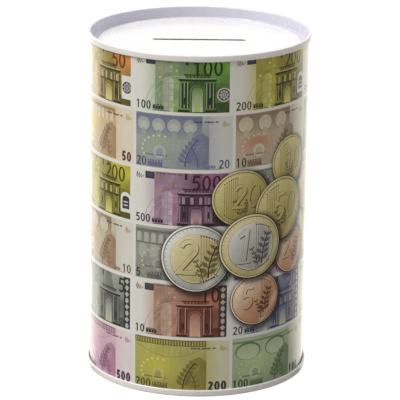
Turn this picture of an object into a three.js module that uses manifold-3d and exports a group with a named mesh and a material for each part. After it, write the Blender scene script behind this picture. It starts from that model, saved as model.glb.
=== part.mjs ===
// Tin money box: a printed three-piece can with a coin slot in its sunken top end. Both ends are
// rolled onto the body by double seams, so the box has no lid and is opened with a can opener.
// Millimetres, +Z up, origin at the centre of the ring that the box stands on.

import * as THREE from 'three';
import { mergeVertices } from 'three/addons/utils/BufferGeometryUtils.js';
import Module from 'manifold-3d';

const wasm = await Module();
wasm.setup();

// Driving dimensions
const height = 158;
const seamRadius = 51; // outside of the seam beads
const seamHeight = 3;
const endSheet = 0.28; // tinplate of the two ends
const bodySheet = 0.24; // tinplate of the body
const layerGap = 0.13; // between neighbouring layers of a seam

const panelDepth = 4.4; // end panel below the crown of the seam
const grooveRadius = 45.6; // edge of the end panel, where the sunken groove round it begins
const grooveWall = 0.6; // how far out the groove's inner wall leans
const grooveDepth = 0.9; // groove below the panel
const grooveBend = 0.4; // bends of the groove's inner wall
const footTaper = 0.3; // the chuck wall's foot is this much further in than its top
const footBend = 1; // bend between chuck wall and groove
const crownBend = 0.45; // bends either side of the flat crown
const coverHookTop = 1.3; // top of the cover hook below the crown
const bodyHookCrown = 0.85; // top of the body hook's bend below the crown, at mid sheet
const bodyHookEnd = 2.4; // free edge of the body hook below the crown

const slotLength = 42.4;
const slotWidth = 3;
const slotLip = 1.5; // depth of the slot's turned-down edge, from the panel's top

const beadRadius = 37; // stiffening step in the bottom panel
const beadWidth = 2.4;
const beadRise = 0.9;

const lapWidth = 1.2; // welded side seam at the back of the body
const lapRise = 0.14;
const lapMargin = 0.8; // end of the lap's thick part to the seam bead

const compoundWidth = 0.7; // ring of lining compound inside each seam
const compoundThickness = 0.2;
const compoundDepth = 0.5; // middle of the ring below the crown

const segments = 48;
const bendSteps = 2;

// Radii of the five layers of a seam, each at the middle of its sheet, from the outside inwards
const hookStep = endSheet / 2 + layerGap + bodySheet / 2;
const seamingPanelRadius = seamRadius - endSheet / 2;
const bodyHookRadius = seamingPanelRadius - hookStep;
const coverHookRadius = bodyHookRadius - hookStep;
const bodyRadius = coverHookRadius - hookStep;
const chuckWallRadius = bodyRadius - hookStep;

// A path of straight stretches joined by round bends. Each corner is [radius, z, bend radius].
function bentPath(corners) {
  const path = [];
  corners.forEach(([x, y, bend], i) => {
    const corner = new THREE.Vector2(x, y);
    if (!bend) {
      path.push(corner);
      return;
    }
    const before = new THREE.Vector2(corners[i - 1][0], corners[i - 1][1]).sub(corner).normalize();
    const after = new THREE.Vector2(corners[i + 1][0], corners[i + 1][1]).sub(corner).normalize();
    const half = Math.acos(before.dot(after)) / 2;
    const middle = before.clone().add(after).normalize();
    const centre = corner.clone().addScaledVector(middle, bend / Math.sin(half));
    const start = corner.clone().addScaledVector(before, bend / Math.tan(half)).sub(centre);
    const turn = (Math.PI - 2 * half) * Math.sign(before.cross(after));
    for (let step = 0; step <= bendSteps; step++) {
      const angle = -turn * step / bendSteps;
      path.push(start.clone().rotateAround(new THREE.Vector2(), angle).add(centre));
    }
  });
  return path.filter((point, i) => i === 0 || point.distanceTo(path[i - 1]) > 1e-6);
}

// The outline of a sheet bent along a path: one face out, the other face back.
function sheetOutline(path, thickness) {
  const normals = path.slice(1).map((point, i) => {
    const along = point.clone().sub(path[i]).normalize();
    return new THREE.Vector2(-along.y, along.x);
  });
  const face = (side) => path.map((point, i) => {
    const first = normals[Math.max(i - 1, 0)];
    const second = normals[Math.min(i, normals.length - 1)];
    const across = first.clone().add(second).normalize();
    return point.clone().addScaledVector(across, side * thickness / 2 / across.dot(second));
  });
  return face(1).concat(face(-1).reverse());
}

// Turns an outline of (radius, z) points about the Z axis. An outline on the axis stays open there.
function revolve(outline) {
  const points = outline.slice();
  if (THREE.ShapeUtils.area(points) < 0) points.reverse();
  const onAxis = points.findIndex((point, i) => (
    Math.abs(point.x) < 1e-9 && Math.abs(points.at(i - 1).x) < 1e-9));
  const ordered = onAxis < 0
    ? points.concat([points[0]])
    : points.slice(onAxis).concat(points.slice(0, onAxis));
  const geometry = new THREE.LatheGeometry(ordered, segments);
  return geometry.rotateX(Math.PI / 2);
}

function toSolid(geometry) {
  const bare = geometry.clone();
  bare.deleteAttribute('normal');
  bare.deleteAttribute('uv');
  const merged = mergeVertices(bare);
  const triVerts = [];
  const index = merged.index.array;
  for (let i = 0; i < index.length; i += 3) {
    const [a, b, c] = index.slice(i, i + 3);
    if (a !== b && b !== c && c !== a) triVerts.push(a, b, c);
  }
  return new wasm.Manifold(new wasm.Mesh({
    numProp: 3,
    vertProperties: merged.attributes.position.array,
    triVerts: new Uint32Array(triVerts),
  }));
}

function toGeometry(solid) {
  const mesh = solid.getMesh();
  const geometry = new THREE.BufferGeometry();
  geometry.setAttribute('position', new THREE.BufferAttribute(mesh.vertProperties, mesh.numProp));
  geometry.setIndex(new THREE.BufferAttribute(mesh.triVerts, 1));
  const flat = geometry.toNonIndexed();
  flat.computeVertexNormals();
  return flat;
}

// A bar with round ends along X, standing from bottom to top.
function roundEndedBar(length, width, bottom, top) {
  const straight = (length - width) / 2;
  const shape = new THREE.Shape();
  shape.absarc(straight, 0, width / 2, -Math.PI / 2, Math.PI / 2, false);
  shape.absarc(-straight, 0, width / 2, Math.PI / 2, Math.PI * 1.5, false);
  const bar = new THREE.ExtrudeGeometry(shape, {
    depth: top - bottom,
    bevelEnabled: false,
    curveSegments: 8,
  });
  return toSolid(bar.translate(0, 0, bottom));
}

// The sheet of an end from the axis out to the cover hook. Depths run down from the crown.
function endPath(depthToZ, panelCorners) {
  const middle = endSheet / 2;
  const foot = panelDepth + middle;
  const turn = (seamingPanelRadius - coverHookRadius) / 2;
  const corners = [
    ...panelCorners(foot),
    [grooveRadius, foot, grooveBend],
    [grooveRadius + grooveWall, foot + grooveDepth, grooveBend],
    [chuckWallRadius - footTaper, foot + grooveDepth, footBend],
    [chuckWallRadius, middle, crownBend],
    [seamingPanelRadius, middle, crownBend],
    [seamingPanelRadius, seamHeight - middle, turn],
    [coverHookRadius, seamHeight - middle, turn],
    [coverHookRadius, coverHookTop, 0],
  ];
  return bentPath(corners.map(([radius, depth, bend]) => [radius, depthToZ(depth), bend]));
}

const downFromTop = (depth) => height - depth;
const upFromBottom = (depth) => depth;

function topEnd() {
  const flatPanel = (foot) => [[0, foot, 0]];
  const panelTop = height - panelDepth;
  const lip = roundEndedBar(
    slotLength + 2 * endSheet, slotWidth + 2 * endSheet, panelTop - slotLip, panelTop - endSheet / 2);
  const slot = roundEndedBar(slotLength, slotWidth, panelTop - slotLip - endSheet, panelTop + endSheet);
  const end = toSolid(revolve(sheetOutline(endPath(downFromTop, flatPanel), endSheet)));
  return toGeometry(end.add(lip).subtract(slot));
}

function bottomEnd() {
  const steppedPanel = (foot) => [
    [0, foot + beadRise, 0],
    [beadRadius - beadWidth / 2, foot + beadRise, 0],
    [beadRadius + beadWidth / 2, foot, 0],
  ];
  return revolve(sheetOutline(endPath(upFromBottom, steppedPanel), endSheet));
}

// The body's sheet, from the hook in the bottom seam up to the hook in the top seam.
function bodyShell() {
  const turn = (bodyHookRadius - bodyRadius) / 2;
  const hook = (depthToZ) => [
    [bodyHookRadius, depthToZ(bodyHookEnd), 0],
    [bodyHookRadius, depthToZ(bodyHookCrown), turn],
    [bodyRadius, depthToZ(bodyHookCrown), turn],
  ];
  const path = bentPath([...hook(upFromBottom), ...hook(downFromTop).reverse()]);
  const tube = toSolid(revolve(sheetOutline(path, bodySheet)));

  const lapHeight = height - 2 * (seamHeight + lapMargin);
  const lap = new THREE.BoxGeometry(lapWidth, bodySheet / 2 + lapRise, lapHeight);
  lap.translate(0, bodyRadius + (bodySheet / 2 + lapRise) / 2, height / 2);
  return toGeometry(tube.add(toSolid(lap)));
}

// The ring of lining compound between the end's crown and the bend of the body hook.
function seamCompound(depthToZ) {
  const middle = (bodyRadius + bodyHookRadius) / 2;
  const inner = middle - compoundWidth / 2;
  const outer = middle + compoundWidth / 2;
  const near = depthToZ(compoundDepth - compoundThickness / 2);
  const far = depthToZ(compoundDepth + compoundThickness / 2);
  const outline = [[inner, near], [outer, near], [outer, far], [inner, far]];
  return revolve(outline.map(([radius, z]) => new THREE.Vector2(radius, z)));
}

const printedTin = new THREE.MeshStandardMaterial({ color: 0xb9b49a, roughness: 0.28, metalness: 0.1 });
const whiteLacquer = new THREE.MeshStandardMaterial({ color: 0xf2f1ee, roughness: 0.3, metalness: 0 });
const compound = new THREE.MeshStandardMaterial({ color: 0x8a8f86, roughness: 0.8, metalness: 0 });

const moneyBox = new THREE.Group();

function addPiece(name, geometry, material) {
  const mesh = new THREE.Mesh(geometry, material);
  mesh.name = name;
  moneyBox.add(mesh);
}

addPiece('body_shell', bodyShell(), printedTin);
addPiece('top_end', topEnd(), whiteLacquer);
addPiece('bottom_end', bottomEnd(), whiteLacquer);
addPiece('top_seam_compound', seamCompound(downFromTop), compound);
addPiece('bottom_seam_compound', seamCompound(upFromBottom), compound);

export default moneyBox;
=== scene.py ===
import math

import bmesh
import bpy
import numpy as np
from bpy.props import FloatProperty, FloatVectorProperty, IntProperty, PointerProperty
from mathutils import Matrix, Vector
from mathutils.geometry import delaunay_2d_cdt


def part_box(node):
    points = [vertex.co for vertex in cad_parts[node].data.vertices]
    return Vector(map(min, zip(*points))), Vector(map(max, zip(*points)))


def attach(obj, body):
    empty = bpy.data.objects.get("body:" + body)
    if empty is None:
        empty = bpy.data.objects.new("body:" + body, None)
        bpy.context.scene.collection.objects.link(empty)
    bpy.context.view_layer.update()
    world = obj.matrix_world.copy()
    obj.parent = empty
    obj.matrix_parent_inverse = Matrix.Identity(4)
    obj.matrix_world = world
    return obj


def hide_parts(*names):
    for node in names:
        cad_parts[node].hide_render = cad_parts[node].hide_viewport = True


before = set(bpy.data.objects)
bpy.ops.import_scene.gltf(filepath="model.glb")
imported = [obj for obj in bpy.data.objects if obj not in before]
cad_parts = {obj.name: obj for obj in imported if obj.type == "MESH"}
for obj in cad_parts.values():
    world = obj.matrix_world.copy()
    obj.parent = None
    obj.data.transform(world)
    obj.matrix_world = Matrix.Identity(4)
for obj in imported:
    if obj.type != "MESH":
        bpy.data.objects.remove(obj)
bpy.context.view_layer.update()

bl_info = {
    "name": "Tin Money Box",
    "version": (1, 0, 0),
    "blender": (4, 5, 0),
    "location": "3D View > Sidebar > Money Box",
    "description": "Builds a printed tin money box with rolled seams and a coin slot in its top",
    "category": "Add Mesh",
}

MM = 0.001
BODY = "root"
WHITE = "stoved_white"
NOTE_WIDTH = 45.9  # millimetres, like all of the artwork
NOTE_HEIGHT = 26.05
WELD = 0.002  # points of the print that are closer than this are one point, in millimetres
_, BODY_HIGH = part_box("body_shell")
_, TOP_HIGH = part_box("top_end")
SEAM_RADIUS = TOP_HIGH.x
HEIGHT = TOP_HIGH.z


# ---------------------------------------------------------------- settings

class CanSettings(bpy.types.PropertyGroup):
    """Sheet metal of the body and the two ends"""

    end_sheet: FloatProperty(
        name="End sheet", description="Thickness of the two ends", default=0.28 * MM, unit="LENGTH")
    body_sheet: FloatProperty(
        name="Body sheet", description="Thickness of the body", default=0.24 * MM, unit="LENGTH")
    layer_gap: FloatProperty(
        name="Layer gap", description="Gap between the layers of a seam", default=0.13 * MM, unit="LENGTH")
    seam_height: FloatProperty(
        name="Seam height", description="Height of a seam bead", default=3 * MM, unit="LENGTH")
    panel_depth: FloatProperty(
        name="Panel depth", description="How far an end panel lies below its seam", default=4.4 * MM,
        unit="LENGTH")
    foot_taper: FloatProperty(
        name="Foot taper", description="How much narrower the inner wall is at its foot",
        default=0.3 * MM, unit="LENGTH")
    foot_bend: FloatProperty(
        name="Foot bend", description="Bend radius between inner wall and groove", default=1.0 * MM,
        unit="LENGTH")
    groove_radius: FloatProperty(
        name="Groove radius", description="Edge of an end panel, where the groove round it begins",
        default=45.6 * MM, unit="LENGTH")
    groove_depth: FloatProperty(
        name="Groove depth", description="How far the groove lies below the panel", default=0.9 * MM,
        unit="LENGTH")
    crown_bend: FloatProperty(
        name="Crown bend", description="Bend radius at the two edges of a seam's crown",
        default=0.45 * MM, unit="LENGTH")
    slot_length: FloatProperty(
        name="Slot length", description="Length of the coin slot", default=42.4 * MM, unit="LENGTH")
    slot_width: FloatProperty(
        name="Slot width", description="Width of the coin slot", default=3 * MM, unit="LENGTH")
    slot_lip: FloatProperty(
        name="Slot lip", description="Depth of the slot's turned-down edge", default=0.4 * MM,
        unit="LENGTH")
    lap_width: FloatProperty(
        name="Lap width", description="Width of the welded lap at the back", default=1.2 * MM,
        unit="LENGTH")
    lap_rise: FloatProperty(
        name="Lap rise", description="How far the lap stands off the body", default=0.14 * MM,
        unit="LENGTH")
    turns: IntProperty(
        name="Segments", description="Straight pieces that make one round edge", default=256, min=32)
    lacquer: FloatVectorProperty(
        name="White lacquer", description="Colour of the two ends", default=(0.84, 0.835, 0.815),
        subtype="COLOR", size=3)
    compound: FloatVectorProperty(
        name="Lining compound", description="Colour of the compound in the seams",
        default=(0.2, 0.215, 0.19), subtype="COLOR", size=3)


class PrintSettings(bpy.types.PropertyGroup):
    """The printed sheet"""

    film: FloatProperty(
        name="Print thickness", description="Thickness of ink and clear lacquer", default=0.03 * MM,
        unit="LENGTH")
    note_width: FloatProperty(
        name="Note width", description="Width of one printed note", default=NOTE_WIDTH * MM,
        unit="LENGTH")
    note_height: FloatProperty(
        name="Note height", description="Height of one printed note", default=NOTE_HEIGHT * MM,
        unit="LENGTH")
    first_left: FloatProperty(
        name="Front note's left edge", description="Left edge of the front note, from the front",
        default=-29.8 * MM, unit="LENGTH")
    top: FloatProperty(
        name="Top of the print", description="Height of the top row's upper edge", default=157.4 * MM,
        unit="LENGTH")
    bare_margin: FloatProperty(
        name="Bare margin", description="Unprinted strip on either side of the lap", default=2.7 * MM,
        unit="LENGTH")
    grain: FloatProperty(
        name="Triangle size", description="Size of the triangles that carry the colour washes",
        default=0.85 * MM, unit="LENGTH")
    shadow: FloatProperty(
        name="Coin shadow", description="Strength of the printed shadow beside a coin", default=0.78,
        min=0, max=1, subtype="FACTOR")
    shadow_reach: FloatProperty(
        name="Shadow reach", description="How far the printed shadow spreads", default=1.5 * MM,
        unit="LENGTH")


class StageSettings(bpy.types.PropertyGroup):
    """Camera, floor and light"""

    distance: FloatProperty(
        name="Camera distance", description="From the camera to the middle of the box", default=1.2352,
        unit="LENGTH")
    elevation: FloatProperty(
        name="Camera height angle", description="How far the camera looks down",
        default=math.radians(16.54), subtype="ANGLE")
    roll: FloatProperty(
        name="Camera roll", description="Tilt of the camera about its own line of sight",
        default=math.radians(0.657), subtype="ANGLE")
    lens: FloatProperty(
        name="Lens", description="Focal length in millimetres on a 36 mm sensor", default=240.93)
    aim_aside: FloatProperty(
        name="Aim aside", description="Sideways place of the point looked at", default=-0.00009,
        unit="LENGTH")
    aim_height: FloatProperty(
        name="Aim height", description="Height of the point looked at", default=0.07786, unit="LENGTH")
    shift_across: FloatProperty(
        name="Shift across", description="Sideways shift of the picture", default=0.00649, precision=5)
    shift_up: FloatProperty(
        name="Shift up", description="Upward shift of the picture", default=-0.00148, precision=5)
    floor_size: FloatProperty(
        name="Floor size", description="Width of the floor", default=8.0, unit="LENGTH")


# ---------------------------------------------------------------- colours

def ink(code):
    """Linear colour of a six-figure colour code."""
    shown = np.array([int(code[i:i + 2], 16) for i in (0, 2, 4)]) / 255
    return np.where(shown <= 0.04045, shown / 12.92, ((shown + 0.055) / 1.055) ** 2.4)


PAPER = ink("E4E3DC")
NIGHT = ink("35333C")


class Inks:
    """The inks of one note, from the palest wash to the deepest line, then its brighter ones."""

    def __init__(self, pale, wash, mid, dark, deep, accent, figure, glow):
        self.pale = ink(pale)
        self.wash = ink(wash)
        self.mid = ink(mid)
        self.dark = ink(dark)
        self.deep = ink(deep)
        self.accent = ink(accent)
        self.figure = ink(figure)
        self.glow = ink(glow)


INKS = {
    5: Inks("C6C9BF", "A6A99F", "8B8E85", "5E6158", "30342C", "C4C09A", "2C3128", "A9ADA0"),
    10: Inks("D2B8A6", "BC9A88", "AA6C58", "7C3F2E", "4A2016", "D8A882", "3A1E14", "CB8468"),
    20: Inks("C6C8BF", "A6AAAC", "888EA6", "686E92", "3C4068", "CCD09A", "3C4064", "8E96B4"),
    50: Inks("E0D4A0", "C8B876", "AC9448", "6E6430", "3A3A1A", "E8D478", "5C3828", "E0944A"),
    100: Inks("C4CCB2", "A0AE8E", "6F944C", "42622C", "1F3312", "B9C870", "1F3112", "7CB844"),
    200: Inks("D8D48C", "BEB85A", "A0983A", "6A6424", "3A3612", "E0D878", "464012", "CCC240"),
    500: Inks("CEBCC8", "B096A6", "8C6078", "5A364A", "341A2C", "D08C5C", "3A1630", "A86E90"),
}
BACK_INKS = {
    5: Inks("B6B9AF", "9A9C93", "8B8D85", "6C6E64", "44463E", "C4C09A", "40443C", "A8AAA0"),
    10: Inks("D6D2BC", "C8BEA4", "AC8E74", "8E7056", "5E4230", "DDB898", "4C3226", "D0A080"),
    20: Inks("BEC2C4", "A8ACA8", "888CA2", "72769A", "4C507A", "CCD09A", "4A4E70", "B0B6A4"),
    50: Inks("E2D2AC", "D2BC94", "B69A74", "92765A", "5E4834", "E8C888", "6C3440", "E8C070"),
    100: Inks("C8D4B4", "AABA94", "8A9C76", "6A8056", "364A28", "C4CC98", "243A18", "C6D4A4"),
    200: Inks("CCC682", "B4AE5C", "9C9246", "7E7234", "443C1A", "D8D080", "3F3522", "D0CA58"),
    500: Inks("E6CCD6", "D8B6C6", "BE90A6", "9C6A84", "6A4058", "E0A8A8", "44203A", "E0A8C0"),
}
VALUES = (5, 10, 20, 50, 100, 200, 500)


def across(left, right, start, end):
    """A wash from one colour to another, from x = start to x = end."""
    def colour(x, y):
        share = np.clip((x - start) / (end - start), 0, 1)[:, None]
        return left * (1 - share) + right * share
    return colour


def upwards(low, high, start, end):
    """A wash from one colour to another, from y = start to y = end."""
    def colour(x, y):
        share = np.clip((y - start) / (end - start), 0, 1)[:, None]
        return low * (1 - share) + high * share
    return colour


def clouded(wash, strength, scale, phase):
    """Soft lighter and darker patches laid over a wash."""
    def colour(x, y):
        waves = np.sin(x / scale + phase) * np.sin(y / scale * 1.3 + phase * 2)
        waves = waves + 0.5 * np.sin(x / scale * 2.1 - y / scale * 1.7 + phase * 3)
        return wash(x, y) * (1 + strength * waves[:, None])
    return colour


def lit_patch(wash, glow, x_middle, y_middle, reach):
    """A wash with a soft patch of another colour round a point."""
    def colour(x, y):
        share = np.exp(-((x - x_middle) ** 2 + 1.6 * (y - y_middle) ** 2) / reach ** 2)[:, None]
        return wash(x, y) * (1 - share) + glow * share
    return colour


def flat(colour):
    """A wash of one colour."""
    return lambda x, y: np.tile(colour, (len(x), 1))


# ---------------------------------------------------------------- outlines, in millimetres

def box_loop(left, low, right, high):
    return [(left, low), (right, low), (right, high), (left, high)]


def arc(x, y, across_radius, up_radius, first=0.0, last=360.0, step=15.0):
    """Points along an ellipse, from one angle to another in degrees."""
    count = max(2, math.ceil(abs(last - first) / step))
    closed = abs(abs(last - first) - 360) < 1e-6
    angles = np.radians(np.linspace(first, last, count + 1))[:-1 if closed else None]
    return [(x + across_radius * math.cos(a), y + up_radius * math.sin(a)) for a in angles]


def arch_loop(left, low, right, high, lift=1.0):
    """A doorway: straight sides and a round top, lift times as high as half its width."""
    radius = (right - left) / 2
    spring = high - radius * lift
    return [(left, low), (right, low)] + arc((left + right) / 2, spring, radius, radius * lift, 0, 180)


def ribbon(path, width):
    """The outline of a line of that width along an open path."""
    points = np.array(path, float)
    steps = np.diff(points, axis=0)
    steps = steps / np.linalg.norm(steps, axis=1)[:, None]
    sides = np.stack([-steps[:, 1], steps[:, 0]], axis=1)
    before = np.vstack([sides[:1], sides])
    after = np.vstack([sides, sides[-1:]])
    middle = before + after
    middle = middle / np.maximum(np.linalg.norm(middle, axis=1), 1e-6)[:, None]
    reach = width / 2 / np.maximum((middle * after).sum(1), 0.5)
    left = points + middle * reach[:, None]
    right = points - middle * reach[:, None]
    return [tuple(p) for p in left] + [tuple(p) for p in right[::-1]]


def figure_loops(figure, weight):
    """Loops of one figure, 0.56 wide and 1 high, drawn with a line of that weight."""
    half = weight / 2
    if figure == "0":
        outer = arc(0.28, 0.5, 0.28, 0.5)
        inner = arc(0.28, 0.5, 0.28 - weight, 0.5 - weight * 0.8, 360, 0)
        return [outer, inner]
    if figure == "1":
        return [[(0.36 - weight, 0), (0.36, 0), (0.36, 1), (0.36 - weight, 1),
                 (0.06, 0.84), (0.06, 0.84 - weight), (0.36 - weight, 0.84)]]
    if figure == "2":
        hook = arc(0.28, 0.72, 0.27 - half, 0.28 - half, 165, -25)
        return [ribbon(hook + [(half + 0.02, half), (0.56, half)], weight)]
    bowl = arc(0.26, 0.33, 0.29 - half, 0.33 - half, 118, -140)
    return [ribbon([(0.52, 1 - half), (0.1 + half, 1 - half), (0.04 + half, 0.56)] + bowl, weight)]


class Artwork:
    """Shapes laid one over another. Each has loops, a wash and the strength of its line pattern."""

    def __init__(self):
        self.shapes = []

    def add(self, loops, wash, lines=0.0):
        if not callable(wash):
            wash = flat(wash)
        self.shapes.append((loops, wash, lines))

    def box(self, left, low, right, high, wash, lines=0.0):
        self.add([box_loop(left, low, right, high)], wash, lines)

    def disc(self, x, y, radius, wash, lines=0.0, step=15.0):
        self.add([arc(x, y, radius, radius, step=step)], wash, lines)

    def stroke(self, path, width, wash, lines=0.0):
        self.add([ribbon(path, width)], wash, lines)

    def doorway(self, left, low, right, high, wash, lines=0.0, lift=1.0):
        self.add([arch_loop(left, low, right, high, lift)], wash, lines)

    def number(self, text, left, low, height, wash, weight=0.17, slant=0.0):
        """A number with its lower left corner at (left, low)."""
        for place, figure in enumerate(str(text)):
            start = left + place * height * 0.66
            loops = [
                [(start + height * (x + slant * y), low + height * y) for x, y in loop]
                for loop in figure_loops(figure, weight)]
            self.add(loops, wash)


# ---------------------------------------------------------------- notes

BACK_HIGH = 25.3  # top of the printed area on a note's back


def word_blocks(art, left, low, width, height, wash, count=4):
    """Solid blocks in a row, where a word would stand, over a thin line."""
    pitch = width / count
    for place in range(count):
        x = left + place * pitch
        art.box(x, low, x + pitch * 0.84, low + height * (1.0 if place % 3 else 0.9), wash)
        art.box(x + pitch * 0.36, low + height * 0.62, x + pitch * 0.5, low + height, PAPER * 0.8)
    art.box(left, low - 0.6, left + width * 1.5, low - 0.35, wash)


def dash_row(art, left, low, width, wash, pitch=0.7, height=0.55):
    """A thin broken line, like very small lettering."""
    for place in range(int(width / pitch)):
        x = left + place * pitch
        if place % 7 != 6:
            art.box(x, low, x + pitch * 0.72, low + height, wash)


def squiggle(art, left, low, width, height, wash, line=0.26):
    """A quick slanting pen stroke."""
    path = ((0.0, 0.25), (0.2, 0.95), (0.16, 0.1), (0.42, 0.8),
            (0.4, 0.1), (0.66, 0.62), (0.68, 0.2), (1.0, 0.5))
    for (x, y), (next_x, next_y) in zip(path, path[1:]):
        art.stroke([(left + width * x, low + height * y), (left + width * next_x, low + height * next_y)],
                   line, wash)


def sprig(art, x, y, size, wash, vein, leaves=5, lean=0.5):
    """A leafy twig that curves upwards from (x, y)."""
    def stem(share):
        return (x + size * lean * share * share, y + size * share)
    for place in range(leaves):
        share = 0.12 + 0.78 * place / max(leaves - 1, 1)
        root_x, root_y = stem(share)
        length = size * (0.36 - 0.14 * share)
        for side in (-1, 1):
            angle = math.pi / 2 + side * 0.95 - lean * share
            tip_x = root_x + length * math.cos(angle)
            tip_y = root_y + length * math.sin(angle)
            wide = length * 0.24
            across_x, across_y = -math.sin(angle) * wide, math.cos(angle) * wide
            mid_x, mid_y = (root_x + tip_x) / 2, (root_y + tip_y) / 2
            art.add([[
                (root_x, root_y),
                (mid_x + across_x, mid_y + across_y),
                (tip_x, tip_y),
                (mid_x - across_x, mid_y - across_y)]], wash)
    art.stroke([stem(place / 8) for place in range(9)], size * 0.045, vein)


def gateway(art, style, inks):
    """A gateway with columns, drawn from x = 21.5 to 37 and from y = 1.2 to 18.6."""
    left, right, low, high = 21.6, 36.9, 1.2, 18.4
    columns, lift, storeys = style
    middle = (left + right) / 2
    width = right - left
    stone = clouded(across(0.35 * inks.mid + 0.65 * inks.dark, inks.dark, left, right), 0.14, 1.6, columns)
    lit = clouded(across(inks.mid, 0.5 * inks.mid + 0.5 * inks.dark, left, right), 0.12, 2.1, columns)
    art.box(left, low, right, high - 2.6, stone, 1.0)
    art.box(left - 0.9, 0.9, right + 0.9, low + 0.8, inks.deep)
    art.box(left - 0.7, high - 3.4, right + 0.7, high - 2.5, inks.deep)
    art.box(left - 0.4, high - 2.5, right + 0.4, high - 2.05, inks.wash)
    art.box(left + width * 0.14, high - 2.05, right - width * 0.14, high - 0.7, lit, 0.8)
    art.box(left + width * 0.1, high - 0.8, right - width * 0.1, high - 0.3, inks.deep)
    door = width * 0.16
    door_high = low + (high - 4.2 - low) * (0.86 if storeys == 1 else 0.6)
    art.doorway(middle - door - 1.0, low, middle + door + 1.0, door_high + 1.0, lit, 0.6, lift)
    art.doorway(middle - door - 0.3, low, middle + door + 0.3, door_high + 0.3, inks.deep, 0, lift)
    art.doorway(middle - door, low, middle + door, door_high,
                upwards(inks.pale * 1.05, inks.mid, low, door_high), 0.4, lift)
    art.doorway(middle - door * 0.5, low, middle + door * 0.5, door_high * 0.74,
                upwards(inks.accent, inks.wash, low, door_high * 0.7), 0.2, lift)
    for side in (-1, 1):
        for place in range(columns):
            x = middle + side * (door + 1.7 + place * (width / 2 - door - 2.2) / max(columns - 1, 1))
            art.box(x - 0.7, low + 0.8, x + 0.7, high - 3.4, inks.deep)
            art.box(x - 0.42, low + 1.4, x + 0.04, high - 4.1, inks.wash, 0.3)
            art.box(x - 0.9, high - 4.2, x + 0.9, high - 3.6, lit)
            art.box(x - 0.95, low + 0.8, x + 0.95, low + 1.5, lit)
        window = middle + side * (door + 3.0)
        art.doorway(window - 0.55, low + 3.2, window + 0.55, low + 6.4, inks.deep)
        if storeys > 1:
            art.doorway(window - 0.55, low + 8.6, window + 0.55, low + 11.4, inks.deep)
    if storeys > 1:
        art.box(left, door_high + 1.2, right, door_high + 1.9, inks.deep)
        for place in range(4):
            x = left + width * (place + 0.5) / 4
            art.doorway(x - 1.0, door_high + 2.0, x + 1.0, high - 3.8, inks.deep)
            art.doorway(x - 0.7, door_high + 2.0, x + 0.7, high - 4.1, inks.wash, 0.4)
    for place in range(7):
        x = left + width * (0.2 + 0.6 * place / 6)
        art.box(x - 0.22, high - 1.95, x + 0.22, high - 0.9, inks.deep)


GATE_STYLES = {5: (2, 1.0, 1), 10: (2, 1.0, 1), 20: (3, 1.9, 2), 50: (2, 1.0, 2),
               100: (3, 1.0, 1), 200: (4, 1.2, 2), 500: (5, 0.4, 2)}


def rosette(art, x, y, radius, wash, paper):
    """A round knot of overlapping rings."""
    art.disc(x, y, radius, wash)
    for place in range(8):
        angle = place * math.pi / 4
        ring_x = x + radius * 0.62 * math.cos(angle)
        ring_y = y + radius * 0.62 * math.sin(angle)
        art.disc(ring_x, ring_y, radius * 0.2, paper, step=45)
        art.disc(ring_x, ring_y, radius * 0.1, wash, step=60)
    art.disc(x, y, radius * 0.3, paper, step=30)
    art.disc(x, y, radius * 0.16, wash, step=45)


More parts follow.
